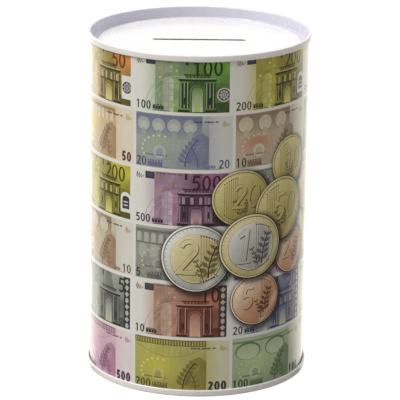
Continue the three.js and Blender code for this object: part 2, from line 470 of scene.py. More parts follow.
def front_note(value):
    """The front of a play note: a gateway, its value twice, and a seal or a strip on the right."""
    art = Artwork()
    inks = INKS[value]
    left, right, low, high = 10.1, 43.5, 0.7, 25.2
    art.box(0, 0, NOTE_WIDTH, NOTE_HEIGHT, PAPER)
    art.box(0.3, 0.5, left, high, across(PAPER, inks.pale, 4, left), 0.25)
    wash = clouded(across(inks.wash * 0.97, inks.mid, 18, 32), 0.1, 2.6, value % 7)
    art.box(left, low, right, high, wash, 0.9)
    art.box(28, low, right, high, clouded(across(inks.mid, inks.mid * 0.8, 28, right), 0.12, 2.3, 1.0), 1.0)
    art.add([[(31, 25.2), (33.5, 18), (38, 14.4), (43.5, 13.5), (43.5, 25.2)]],
            clouded(upwards(inks.mid, inks.glow, 13.5, 22), 0.08, 2.0, 2.0), 0.7)
    art.box(36.5, low, right, 5.2, clouded(flat(inks.dark), 0.15, 1.9, 0.4), 0.8)
    art.doorway(12.4, low, 20.4, 18.5, clouded(flat(inks.wash * 0.88), 0.12, 1.7, 0.9), 0.9)
    art.doorway(13.6, low, 19.2, 16.6, clouded(across(inks.wash, inks.pale, 13, 19), 0.1, 1.3, 0.2), 0.6)
    for place in range(5):
        art.box(13.6, 2.6 + 2.7 * place, 19.2, 2.85 + 2.7 * place, inks.wash * 0.8)
    art.box(16.25, low, 16.55, 16.4, inks.wash * 0.8)
    art.box(18.6, low, 20.8, high, clouded(flat(0.6 * inks.wash + 0.4 * inks.glow), 0.12, 1.9, 0.7), 0.8)
    for place in range(3):
        radius = 11 + 2.4 * place
        art.stroke(arc(21, 1.2, radius, radius, 60, 178, 6), 0.3, inks.wash * 1.12, 0.2)
    for x, y in ((17.5, 21.2), (18.6, 4.0), (23.2, 3.2), (12.3, 16.0), (20.0, 19.4)):
        art.disc(x, y, 0.62, inks.accent, step=60)
    gateway(art, GATE_STYLES[value], inks)
    art.box(24.0, 22.2, 25.2, 25.0, inks.figure)
    height = 7.0
    weight = 0.145
    art.number(value, 40.3 - height * (0.66 * len(str(value)) - 0.1), 17.3, height, inks.figure, weight)
    art.box(5.6, 21.5, 10.1, 24.7, NIGHT)
    art.box(6.2, 22.0, 9.5, 24.2, NIGHT * 1.9)
    squiggle(art, 0.9, 20.8, 4.0, 3.6, inks.dark)
    dash_row(art, 11.2, 24.1, 12.2, inks.dark)
    art.number(value, 0.7, 1.1, 3.9, inks.figure * 0.8, 0.17)
    word_blocks(art, 9.0 if value > 50 else 6.4, 1.5, 5.4, 2.3, inks.figure)
    if value in (5, 10, 20):
        art.box(right - 0.1, 0.6, 44.9, high, PAPER)
        art.box(39.9, low, 43.6, high, NIGHT * 1.1)
        for place in range(8):
            y = low + 1.5 + place * 3.0
            if place % 2:
                art.add([[(40.5, y), (41.75, y - 1.3), (43.0, y), (41.75, y + 1.3)]], inks.pale * 0.85)
            else:
                art.add([arc(41.75, y, 0.95, 1.25, step=30)], inks.pale * 0.85)
    else:
        if value == 50:
            art.box(38.1, 3.6, 44.4, 14.2, PAPER)
            rosette(art, 41.3, 8.9, 2.7, NIGHT, PAPER * 0.8)
        elif value == 200:
            art.doorway(37.8, 3.6, 43.8, 13.0, PAPER, 0, 0.9)
            art.doorway(38.8, 5.2, 42.9, 11.2, NIGHT * 1.2, 0, 0.7)
            art.box(39.6, 6.6, 42.1, 7.1, PAPER)
            art.box(39.6, 8.2, 42.1, 8.7, PAPER)
        else:
            art.disc(41.0, 8.8, 3.2, inks.pale)
            rosette(art, 41.0, 8.8, 2.6, NIGHT * 1.2, PAPER)
        art.box(right, 0.4, NOTE_WIDTH, high + 0.4, PAPER)
    return art


def bridge(art, value, inks):
    """The row of arches along the top of a note's back."""
    high = BACK_HIGH
    if value in (20, 10):
        centres = (4.6, 11.8, 19.0, 26.2) if value == 20 else (5.6, 15.6, 25.2)
        radius = 3.1 if value == 20 else 3.6
        art.box(0.7, 14.6, 31.5, high, upwards(inks.wash, 0.6 * inks.mid + 0.4 * inks.dark, 14.6, high), 0.9)
        for x in centres:
            art.disc(x, 20.4, radius + 0.5, inks.mid, 0.8)
            art.disc(x, 20.4, radius, upwards(inks.pale, inks.wash, 17, 24), 0.4)
            art.disc(x, 19.8, radius * 0.55, 0.6 * inks.pale + 0.4 * inks.accent, 0.5)
            art.doorway(x - radius * 0.4, 14.7, x + radius * 0.4, 18.4, inks.wash, 0.6)
        art.box(0.7, high - 0.7, 31.5, high, inks.mid, 0.5)
    elif value in (5, 50):
        art.box(0.7, 18.0, 34.0, high - 1.2, upwards(inks.wash, inks.mid, 18, high), 0.8)
        for place in range(9):
            x = 2.6 + place * 3.6
            art.doorway(x - 1.15, 18.0, x + 1.15, 22.4, inks.pale, 0.3)
        art.box(0.7, 22.9, 34.0, 23.5, inks.dark)
        if value == 5:
            for place in range(5):
                x = 4.4 + place * 5.6
                art.doorway(x - 2.0, 11.2, x + 2.0, 17.2, inks.pale * 0.94, 0.3)
            art.box(0.7, 17.3, 30.0, 17.9, inks.dark)
    elif value == 100:
        art.box(0.7, 22.6, 34.0, 23.6, inks.mid, 0.5)
        for x in (8.6, 24.4):
            art.add([arc(x, 18.6, 6.6, 4.3)], upwards(inks.mid, inks.dark, 14, 23), 0.6)
            art.add([arc(x, 18.3, 5.9, 3.7)], upwards(inks.pale, inks.wash * 1.1, 15, 22), 0.3)
    else:
        art.box(0.7, 22.4, 34.4, high, inks.dark, 0.6)
        for place in range(26):
            x = 1.1 + place * 1.28
            art.box(x, 22.8, x + 0.55, high - 0.5, inks.wash)
        sag = [(0.8 + 33.4 * t, 22.0 - 5.0 * math.sin(math.pi * t)) for t in np.linspace(0, 1, 25)]
        art.stroke(sag, 0.32, inks.mid)
        for x, y in sag[2:-1:2]:
            art.box(x - 0.1, y, x + 0.1, 22.4, inks.mid)


def back_note(value):
    """The back of a play note: a bridge, a leafy twig, and its value in both lower corners."""
    art = Artwork()
    inks = BACK_INKS[value]
    low, high = 0.8, BACK_HIGH
    art.box(0, 0, NOTE_WIDTH, NOTE_HEIGHT, PAPER)
    wash = clouded(upwards(inks.wash, inks.pale * 0.92, low, high), 0.05, 3.9, value % 5)
    art.box(0.7, low, 34.6, high, lit_patch(wash, inks.glow, 12, 13, 8.5), 0.9)
    art.box(34.6, low, 45.2, high, across(inks.pale * 0.97, 0.45 * inks.pale + 0.55 * PAPER, 34.6, 41), 0.3)
    bridge(art, value, inks)
    ground = clouded(across(inks.wash, inks.mid, 18, 34), 0.08, 2.2, 0.6)
    art.add([[(19.5, 1.2), (34.6, 1.2), (34.6, 15.5), (31.5, 17.6), (28.2, 16.2), (25.4, 13.0),
              (23.6, 9.6), (20.8, 6.8)]], ground, 0.8)
    sprig(art, 24.0, 2.2, 12.6, inks.dark, inks.deep, 6, 0.45)
    sprig(art, 29.8, 1.8, 8.4, inks.dark * 1.1, inks.deep, 4, -0.3)
    for place in range(8):
        angle = math.radians(205 - 19 * place)
        x = 12.4 + 8.4 * math.cos(angle)
        y = 9.4 + 6.2 * math.sin(angle)
        art.disc(x, y, 0.55, inks.accent * 1.1, step=60)
    art.disc(12.4, 8.2, 3.0, inks.pale, 0.6)
    art.disc(12.4, 8.2, 1.7, inks.wash, 0.8)
    dash_row(art, 27.6, 22.2 if value in (20, 10) else 21.2, 11.2, NIGHT * 1.3, height=0.8)
    dash_row(art, 5.6, 6.3, 10.6, inks.dark * 0.8, height=0.75)
    art.number(value, 1.0, 1.3, 4.1, inks.figure, 0.17)
    word_left = 9.8 if value > 50 else 6.8
    block = across(inks.mid, inks.dark, word_left, word_left + 7)
    art.box(word_left - 0.3, 1.3, word_left + 7.0, 4.3, block, 0.8)
    word_blocks(art, word_left, 1.8, 6.8, 2.3, inks.dark * 0.85, 5)
    squiggle(art, 40.6, 19.8, 3.6, 3.6, inks.accent * 0.72, 0.4)
    bold = value >= 50
    height = 4.6 if bold else 4.0
    width = height * (0.66 * len(str(value)) - 0.1)
    art.number(value, 43.9 - width, 1.3, height, inks.figure, 0.24 if bold else 0.16)
    if not bold:
        word_blocks(art, 43.0 - width - 5.0, 1.5, 4.6, 1.5, inks.dark)
    return art


def note_value(row, column):
    """Each row runs through the values in turn: fronts upwards, backs downwards."""
    starts = (4, 2, 6, 0, 1, 5)
    way = 1 if row % 2 == 0 else -1
    return VALUES[(starts[row] + way * column) % len(VALUES)]


# ---------------------------------------------------------------- coins

class Coin:
    """A printed coin: where it lies on the sheet, from the front and up, and what it is."""

    def __init__(self, name, value, x, y, wide, tall, metal):
        self.name = name
        self.value = value
        self.centre = np.array([x, y], float)
        self.reach = np.array([wide, tall], float)
        self.metal = metal

    def loop(self, grow=0.0):
        wide, tall = self.reach + grow
        return arc(self.centre[0], self.centre[1], wide, tall, step=4)


COINS = (
    Coin("copper_1", 1, 67.4, 88.0, 10.4, 10.0, "copper"),
    Coin("gold_10", 10, 48.7, 105.0, 12.5, 11.9, "gold"),
    Coin("copper_2", 2, 50.8, 63.2, 11.6, 11.2, "copper"),
    Coin("gold_20", 20, 20.3, 92.0, 14.2, 13.2, "gold"),
    Coin("copper_5", 5, 28.5, 43.9, 13.3, 12.4, "copper"),
    Coin("gold_50", 50, 42.8, 84.0, 15.9, 14.9, "gold"),
    Coin("two_metal_2", 2, -0.4, 65.0, 16.1, 16.0, "silver_gold"),
    Coin("two_metal_1", 1, 25.8, 69.1, 16.2, 15.2, "gold_silver"),
)

METALS = {
    "gold": (ink("E6DA9E"), ink("C0B066"), ink("85743A"), ink("382C12")),
    "copper": (ink("F6E6CC"), ink("D0A27C"), ink("8C4C32"), ink("40200F")),
    "pale_gold": (ink("F0E6BC"), ink("CEC28C"), ink("988A56"), ink("382C12")),
    "silver": (ink("F0EFE8"), ink("BDBDB4"), ink("83837C"), ink("30302A")),
}


def lit_metal(metal, reach):
    """A metal face that is palest at the upper left."""
    light, mid, dark, _ = METALS[metal]

    def colour(x, y):
        share = np.clip(0.5 + (x - 1.1 * y) / (reach * 2.6), 0, 1)[:, None]
        ripple = 0.04 * np.sin(x * 0.9 + y * 0.7) * np.sin(y * 1.1 - x * 0.3)
        tone = np.where(share < 0.5, light * (1 - 2 * share) + mid * 2 * share,
                        mid * (2 - 2 * share) + (0.6 * dark + 0.4 * mid) * (2 * share - 1))
        gleam = np.exp(-((x * 0.8 - y * 0.6 - reach * 0.72) / (reach * 0.13)) ** 2)[:, None]
        tone = tone + (light - tone) * 0.45 * gleam
        return tone * (1 + ripple[:, None])
    return colour


def relief(art, loops, depth, face, shade, glint):
    """A raised shape: its shadow to the lower right, its glint to the upper left, its face on top."""
    def moved(by_x, by_y):
        return [[(x + by_x, y + by_y) for x, y in loop] for loop in loops]
    art.add(moved(depth, -depth), shade)
    art.add(moved(-depth * 0.8, depth * 0.8), shade * 1.5)
    art.add(moved(-depth * 0.4, depth * 0.4), glint)
    art.add(loops, face, 0.2)


def relief_number(art, text, x, y, height, weight, slant, face, shade, glint):
    """A raised number with its lower left corner at (x, y)."""
    for place, figure in enumerate(str(text)):
        start = x + place * height * 0.64
        loops = [
            [(start + height * (px + slant * py), y + height * py) for px, py in loop]
            for loop in figure_loops(figure, weight)]
        relief(art, loops, 0.34, face, shade, glint)


def coin_art(coin):
    """A coin's face about its own centre: rim, field, raised number, upright lines and a twig."""
    art = Artwork()
    radius = float(coin.reach.min())
    stretch = float(coin.reach[0] / radius)
    inner_metal, outer_metal = {
        "gold": ("gold", "gold"), "copper": ("copper", "copper"),
        "silver_gold": ("pale_gold", "silver"), "gold_silver": ("silver", "pale_gold")}[coin.metal]
    light, mid, dark, deep = METALS[outer_metal]

    def round_face(share, wash, lines=0.0, by_x=0.0, by_y=0.0):
        art.add([arc(by_x, by_y, radius * stretch * share, radius * share, step=6)], wash, lines)

    round_face(1.0, deep * 0.55)
    round_face(0.965, across(light, mid, -radius * 0.3, radius), 0, -0.22, 0.24)
    round_face(0.928, 0.5 * dark + 0.5 * deep, 0, -0.06, 0.06)
    round_face(0.902, lit_metal(outer_metal, radius), 0.35)
    beads = 44
    for place in range(beads):
        angle = 2 * math.pi * place / beads
        art.disc(radius * stretch * 0.865 * math.cos(angle), radius * 0.865 * math.sin(angle),
                 radius * 0.018, dark, step=90)
    light, mid, dark, deep = METALS[inner_metal]
    if inner_metal != outer_metal:
        round_face(0.725, METALS[outer_metal][3], 0, 0.06, -0.08)
        round_face(0.71, light, 0, -0.05, 0.05)
        round_face(0.69, lit_metal(inner_metal, radius), 0.35)
    face = lit_metal(inner_metal, radius)
    shade = deep
    glint = light * 1.05
    two_metal = inner_metal != outer_metal
    height = radius * (1.02 if two_metal else 0.84)
    figures = len(str(coin.value))
    width = height * (0.64 * figures - 0.08)
    if two_metal:
        number_x, number_y = -radius * 0.58, -height * 0.46
    elif figures == 2:
        number_x, number_y = -width * 0.36, -height * 0.42
    else:
        number_x, number_y = -radius * 0.66, -height * 0.4
    line_x = radius * (0.14 if two_metal else (-0.62 if figures == 2 else 0.2))
    lines = 7
    for place in range(lines):
        x = line_x + place * radius * 0.075
        half = radius * (0.62 if two_metal else 0.7) * math.sqrt(max(0.05, 1 - (x / radius) ** 2 * 1.3))
        art.box(x - radius * 0.01, -half, x + radius * 0.01, half, dark)
        for end in (-1, 1):
            art.disc(x, end * (half + radius * 0.05), radius * 0.028, deep * 1.3, step=60)
    twig_x = radius * (0.34 if figures == 1 else 0.1)
    leaf = 0.5 * dark + 0.5 * deep
    sprig(art, twig_x, -radius * 0.56, radius * (0.92 if figures == 1 else 0.5), leaf, deep, 5, 0.25)
    sprig(art, twig_x - radius * 0.16, -radius * 0.6, radius * 0.55, leaf, deep, 4, -0.4)
    relief_number(art, coin.value, number_x, number_y, height, 0.11, 0.12, face, shade, glint)
    if coin.value == 1 and two_metal:
        foot = [ribbon([(number_x + 0.02 * height, number_y), (number_x + 0.5 * height, number_y)], 0.9)]
        relief(art, foot, 0.3, face, shade, glint)
    return art


# ---------------------------------------------------------------- printed film

def closely_spaced(loop, spacing):
    """The loop with extra points, so that no side is longer than the spacing."""
    points = []
    for (x, y), (next_x, next_y) in zip(loop, loop[1:] + loop[:1]):
        count = max(1, math.ceil(math.hypot(next_x - x, next_y - y) / spacing))
        points.extend(
            (x + (next_x - x) * step / count, y + (next_y - y) * step / count) for step in range(count))
    return points


def winding(points, loop):
    """How many times the loop runs round each point."""
    turns = np.zeros(len(points), int)
    starts = np.array(loop, float)
    low, high = starts.min(0), starts.max(0)
    near = np.nonzero(((points >= low) & (points <= high)).all(1))[0]
    ends = np.roll(starts, -1, axis=0)
    x, y = points[near, 0][:, None], points[near, 1][:, None]
    along = ends - starts
    left = along[:, 0] * (y - starts[:, 1]) - along[:, 1] * (x - starts[:, 0])
    rising = (starts[:, 1] <= y) & (ends[:, 1] > y) & (left > 0)
    falling = (starts[:, 1] > y) & (ends[:, 1] <= y) & (left < 0)
    turns[near] = rising.sum(1) - falling.sum(1)
    return turns


def planar_map(outline, shapes, covers, spacing):
    """Cuts the outline into triangles along every shape's edges, apart from what the covers hide.

    Returns the points, the triangles and the number of each triangle's topmost shape.
    """
    points = []
    edges = []
    for loop in [outline] + covers + [loop for loops, _, _ in shapes for loop in loops]:
        first = len(points)
        points.extend(Vector(point) for point in closely_spaced(loop, spacing))
        count = len(points) - first
        edges.extend((first + place, first + (place + 1) % count) for place in range(count))
    edge = np.array(outline)
    low, high = edge.min(0), edge.max(0)
    rows = int((high[1] - low[1]) / spacing)
    columns = int((high[0] - low[0]) / spacing)
    for row in range(rows):
        for column in range(columns + 1):
            shift = 0.25 + 0.5 * (row % 2)
            points.append(Vector((low[0] + (column + shift) * spacing, low[1] + (row + 0.5) * spacing)))
    corners, _, triangles, _, _, _ = delaunay_2d_cdt(points, edges, [], 0, WELD, False)
    corners = np.array([tuple(corner) for corner in corners])
    triangles = np.array(triangles)
    middles = corners[triangles].mean(axis=1)
    topmost = np.full(len(triangles), -1)
    for number, (loops, _, _) in enumerate(shapes):
        topmost[sum(winding(middles, loop) for loop in loops) != 0] = number
    topmost[winding(middles, outline) == 0] = -1
    for cover in covers:
        topmost[winding(middles, cover) != 0] = -1
    kept = topmost >= 0
    used, renumbered = np.unique(triangles[kept], return_inverse=True)
    return corners[used], renumbered.reshape(-1, 3), topmost[kept]


def coin_shade(points, above, settings):
    """How much the coins that lie above darken the print, from 0 to 1."""
    light = np.ones(len(points))
    reach = settings.shadow_reach / MM
    for coin in above:
        middle = coin.centre + np.array([0.75, -0.8])
        away = (np.linalg.norm((points - middle) / coin.reach, axis=1) - 1) * coin.reach.min()
        light *= 1 - settings.shadow * np.exp(-(np.maximum(away, 0) / reach) ** 2)
    return light


def build_film(name, art, origin, outline, covers, above, material, inner_radius, settings):
    """A printed patch of the sheet: a thin film round the body, closed on all sides.

    The artwork's own millimetres start at the origin, a point on the flat sheet.
    """
    spacing = settings.grain / MM
    outer_radius = inner_radius + settings.film
    shift = np.array(origin)
    local_outline = [tuple(np.array(point) - shift) for point in outline]
    local_covers = [[tuple(np.array(point) - shift) for point in cover] for cover in covers]
    flat_points, triangles, topmost = planar_map(local_outline, art.shapes, local_covers, spacing)
    on_sheet = flat_points + shift

    angle = on_sheet[:, 0] * MM / outer_radius
    outward = np.stack([np.sin(angle), -np.cos(angle), np.zeros(len(angle))], axis=1)
    lift = np.zeros((len(angle), 3))
    lift[:, 2] = on_sheet[:, 1] * MM
    vertices = np.vstack([outward * outer_radius + lift, outward * (inner_radius - settings.film) + lift])
    count = len(flat_points)

    sides = {}
    for triangle in triangles.tolist():
        for corner in range(3):
            sides[(triangle[corner], triangle[(corner + 1) % 3])] = True
    rims = [(a, b) for a, b in sides if (b, a) not in sides]
    walls = [(b, a, a + count, b + count) for a, b in rims]
    faces = [tuple(t) for t in triangles.tolist()]
    faces += [tuple(t) for t in (triangles[:, ::-1] + count).tolist()]
    faces += walls
    mesh = bpy.data.meshes.new(name)
    mesh.from_pydata(vertices.tolist(), [], faces)

    mesh.shade_smooth()
    rim_edges = {frozenset(rim) for rim in rims}
    for edge in mesh.edges:
        edge.use_edge_sharp = frozenset(corner % count for corner in edge.vertices) in rim_edges

    corner_index = np.empty(len(mesh.loops), int)
    mesh.loops.foreach_get("vertex_index", corner_index)
    flat_index = corner_index % count
    shapes_of_faces = np.concatenate([topmost, topmost])
    corner_shape = np.repeat(shapes_of_faces, 3)
    wall_corners = len(mesh.loops) - len(corner_shape)
    corner_shape = np.concatenate([corner_shape, np.full(wall_corners, -1)])
    colours = np.zeros((len(mesh.loops), 4))
    for number in np.unique(topmost):
        _, wash, lines = art.shapes[number]
        chosen = corner_shape == number
        place = flat_points[flat_index[chosen]]
        colours[chosen, :3] = wash(place[:, 0], place[:, 1])
        colours[chosen, 3] = lines
    colours[corner_shape == -1] = (*(PAPER * 0.8), 0)
    colours[:, :3] *= coin_shade(on_sheet[flat_index], above, settings)[:, None]
    layer = mesh.color_attributes.new("Ink", "FLOAT_COLOR", "CORNER")
    layer.data.foreach_set("color", np.clip(colours, 0, 1).astype(np.float32).ravel())
    sheet_map = mesh.uv_layers.new(name="Sheet")
    sheet_map.data.foreach_set("uv", (on_sheet[flat_index] * MM).astype(np.float32).ravel())

    normals = np.zeros((len(mesh.loops), 3))
    face_corners = len(triangles) * 3
    normals[:face_corners] = outward[flat_index[:face_corners]]
    normals[face_corners:2 * face_corners] = -outward[flat_index[face_corners:2 * face_corners]]
    wall_index = np.arange(2 * face_corners, len(mesh.loops)).reshape(-1, 4)
    wall_normals = np.array([tuple(face.normal) for face in mesh.polygons[2 * len(triangles):]])
    normals[wall_index] = wall_normals[:, None, :]
    rounding = mesh.attributes.new("custom_normal", "FLOAT_VECTOR", "CORNER")
    rounding.data.foreach_set("vector", normals.astype(np.float32).ravel())
    mesh.materials.append(material)
    return add_object(name, mesh)


def add_object(name, mesh):
    piece = bpy.data.objects.new(name, mesh)
    bpy.context.scene.collection.objects.link(piece)
    return piece


# ---------------------------------------------------------------- sheet metal

def bent_path(corners, steps=8):
    """A path of straight stretches joined by round bends. Each corner is (radius, z, bend radius)."""
    path = []
    for place, (x, y, bend) in enumerate(corners):
        corner = Vector((x, y))
        if not bend:
            path.append(corner)
            continue
        before = (Vector(corners[place - 1][:2]) - corner).normalized()
        after = (Vector(corners[place + 1][:2]) - corner).normalized()
        half = before.angle(after) / 2
        centre = corner + (before + after).normalized() * (bend / math.sin(half))
        spoke = corner + before * (bend / math.tan(half)) - centre
        turn = (math.pi - 2 * half) * math.copysign(1, before.x * after.y - before.y * after.x)
        for step in range(steps + 1):
            angle = -turn * step / steps
            cos, sin = math.cos(angle), math.sin(angle)
            path.append(centre + Vector((spoke.x * cos - spoke.y * sin, spoke.x * sin + spoke.y * cos)))
    return [point for place, point in enumerate(path)
            if place == 0 or (point - path[place - 1]).length > 1e-8]


def sheet_outline(path, thickness):
    """The outline of a sheet bent along a path: one face out, the other face back."""
    normals = []
    for start, end in zip(path, path[1:]):
        along = (end - start).normalized()
        normals.append(Vector((-along.y, along.x)))

    def face(side):
        points = []
        for place, point in enumerate(path):
            first = normals[max(place - 1, 0)]
            second = normals[min(place, len(normals) - 1)]
            out = (first + second).normalized()
            points.append(point + out * (side * thickness / 2 / out.dot(second)))
        return points
    return face(1) + face(-1)[::-1]


def from_top(depth):
    return HEIGHT - depth


def from_bottom(depth):
    return depth


def seam_radii(can):
    """Radii of a seam's five layers at the middle of each sheet, from the outside inwards."""
    step = can.end_sheet / 2 + can.layer_gap + can.body_sheet / 2
    outside = SEAM_RADIUS - can.end_sheet / 2
    return [outside - step * layer for layer in range(5)]


GROOVE_WALL = 0.6 * MM  # how far out the groove's inner wall leans
GROOVE_BEND = 0.4 * MM
COVER_HOOK_TOP = 1.3 * MM  # below the crown
BODY_HOOK_CROWN = 0.85 * MM  # below the crown
BODY_HOOK_END = 2.4 * MM  # below the crown


def end_corners(can, depth_to_z, panel_corners):
    """Corners of an end's sheet from its panel out to the cover hook."""
    seaming_panel, _, cover_hook, _, chuck_wall = seam_radii(can)
    middle = can.end_sheet / 2
    foot = can.panel_depth + middle
    turn = (seaming_panel - cover_hook) / 2
    corners = panel_corners(foot) + [
        (can.groove_radius, foot, GROOVE_BEND),
        (can.groove_radius + GROOVE_WALL, foot + can.groove_depth, GROOVE_BEND),
        (chuck_wall - can.foot_taper, foot + can.groove_depth, can.foot_bend),
        (chuck_wall, middle, can.crown_bend),
        (seaming_panel, middle, can.crown_bend),
        (seaming_panel, can.seam_height - middle, turn),
        (cover_hook, can.seam_height - middle, turn),
        (cover_hook, COVER_HOOK_TOP, 0),
    ]
    return [(radius, depth_to_z(depth), bend) for radius, depth, bend in corners]


def turning_tree():
    """Geometry Nodes that turn a profile, drawn as edges, about the Z axis."""
    name = "Turned profile"
    if name in bpy.data.node_groups:
        return bpy.data.node_groups[name]
    tree = bpy.data.node_groups.new(name, "GeometryNodeTree")
    sockets = tree.interface
    sockets.new_socket("Profile", in_out="INPUT", socket_type="NodeSocketGeometry")
    sockets.new_socket("Core Radius", in_out="INPUT", socket_type="NodeSocketFloat")
    sockets.new_socket("Segments", in_out="INPUT", socket_type="NodeSocketInt")
    sockets.new_socket("Finish", in_out="INPUT", socket_type="NodeSocketMaterial")
    sockets.new_socket("Turned", in_out="OUTPUT", socket_type="NodeSocketGeometry")
    nodes = tree.nodes
    link = tree.links.new
    given = nodes.new("NodeGroupInput")
    profile = nodes.new("GeometryNodeMeshToCurve")
    circle = nodes.new("GeometryNodeCurvePrimitiveCircle")
    sweep = nodes.new("GeometryNodeCurveToMesh")
    weld = nodes.new("GeometryNodeMergeByDistance")
    smooth = nodes.new("GeometryNodeSetShadeSmooth")
    realize = nodes.new("GeometryNodeRealizeInstances")
    finish = nodes.new("GeometryNodeSetMaterial")
    result = nodes.new("NodeGroupOutput")
    weld.inputs["Distance"].default_value = 1e-6
    link(given.outputs["Profile"], profile.inputs["Mesh"])
    link(given.outputs["Segments"], circle.inputs["Resolution"])
    link(given.outputs["Core Radius"], circle.inputs["Radius"])
    link(circle.outputs["Curve"], sweep.inputs["Curve"])
    link(profile.outputs["Curve"], sweep.inputs["Profile Curve"])
    link(sweep.outputs["Mesh"], weld.inputs["Geometry"])
    link(weld.outputs["Geometry"], smooth.inputs["Geometry"])
    link(smooth.outputs["Geometry"], realize.inputs["Geometry"])
    link(realize.outputs["Geometry"], finish.inputs["Geometry"])
    link(given.outputs["Finish"], finish.inputs["Material"])
    link(finish.outputs["Geometry"], result.inputs["Turned"])
    for place, node in enumerate((given, profile, circle, sweep, weld, smooth, realize, finish, result)):
        node.location = (180 * place, -120 * (place % 2))
    return tree


def turned_mesh(name, outline, closed, segments, material):
    """A mesh turned from an outline of (radius, z) points."""
    core = 0.01
    drawing = bpy.data.meshes.new(name + " profile")
    edges = [(place, place + 1) for place in range(len(outline) - 1)]
    if closed:
        edges.append((len(outline) - 1, 0))
    drawing.from_pydata([(point.x - core, -point.y, 0) for point in outline], edges, [])
    holder = add_object(name + " profile", drawing)
    modifier = holder.modifiers.new("Turned", "NODES")
    tree = turning_tree()
    modifier.node_group = tree
    values = {"Core Radius": core, "Segments": segments, "Finish": material}
    for socket in tree.interface.items_tree:
        if socket.in_out == "INPUT" and socket.name in values:
            modifier[socket.identifier] = values[socket.name]
    bpy.context.view_layer.update()
    shape = holder.evaluated_get(bpy.context.evaluated_depsgraph_get())
    mesh = bpy.data.meshes.new_from_object(shape)
    holder.modifiers.clear()
    bpy.data.objects.remove(holder)
    bpy.data.meshes.remove(drawing)
    mesh.name = name
    return mesh


def point_outwards(mesh, sharp=math.radians(35)):
    """Turns a closed mesh's faces outwards and marks its sharp edges."""
    work = bmesh.new()
    work.from_mesh(mesh)
    bmesh.ops.remove_doubles(work, verts=work.verts, dist=1e-6)
    bmesh.ops.dissolve_degenerate(work, dist=1e-7, edges=work.edges)
    bmesh.ops.recalc_face_normals(work, faces=work.faces)
    if work.calc_volume(signed=True) < 0:
        bmesh.ops.reverse_faces(work, faces=work.faces)
    for edge in work.edges:
        edge.smooth = edge.calc_face_angle(0) < sharp
    for face in work.faces:
        face.smooth = True
    work.to_mesh(mesh)
    work.free()


def turned_piece(name, path, thickness, can, material):
    """A piece turned from a sheet that is bent along a path."""
    outline = sheet_outline(path, thickness)
    open_at_axis = path[0].x < 1e-9
    if open_at_axis:
        outline.reverse()
        for point in (outline[0], outline[-1]):
            point.x = 0
    mesh = turned_mesh(name, outline, not open_at_axis, can.turns, material)
    point_outwards(mesh)
    return add_object(name, mesh)


def lap_mesh(can, outer):
    """The welded lap: a low rounded strip up the back of the body, slightly rippled."""
    end = can.seam_height + 0.8 * MM
    sunk = outer - 0.05 * MM
    half = can.lap_width / 2
    steps = 8
    levels = 60
    mesh = bpy.data.meshes.new("welded_lap")
    work = bmesh.new()
    rows = []
    for level in range(levels + 1):
        z = end + (HEIGHT - 2 * end) * level / levels
        ripple = 1 + 0.06 * math.sin(level * 2.4)
        section = [(half, sunk)]
        for step in range(steps + 1):
            angle = math.pi * step / steps
            rise = can.lap_rise * ripple * min(1.0, 2.2 * math.sin(angle) + 0.15)
            section.append((half * math.cos(angle), outer + rise))
        section.append((-half, sunk))
        rows.append([work.verts.new((x, math.sqrt(max(y * y - x * x, 0)), z)) for x, y in section])
    for row, following in zip(rows, rows[1:]):
        join_rows(work, row, following)
    work.faces.new(rows[0])
    work.faces.new(rows[-1][::-1])
    work.to_mesh(mesh)
    work.free()
    mesh.materials.append(weld_material())
    point_outwards(mesh)
    return mesh


def join_rows(work, row, following):
    """A band of faces between two closed rows of points."""
    for place in range(len(row)):
        after = (place + 1) % len(row)
        work.faces.new((row[place], row[after], following[after], following[place]))


def bar_loop(length, width, grow, spacing):
    """Points round a bar with round ends, made larger all round by grow."""
    straight = (length - width) / 2
    radius = width / 2 + grow
    steps = 24
    rail = max(2, round(2 * straight / spacing))
    points = []
    for side, first in ((1, -90), (-1, 90)):
        for step in range(steps):
            angle = math.radians(first + 180 * step / steps)
            points.append(Vector((side * straight + radius * math.cos(angle), radius * math.sin(angle))))
        for step in range(rail):
            points.append(Vector((side * (straight - 2 * straight * step / rail), side * radius)))
    return points


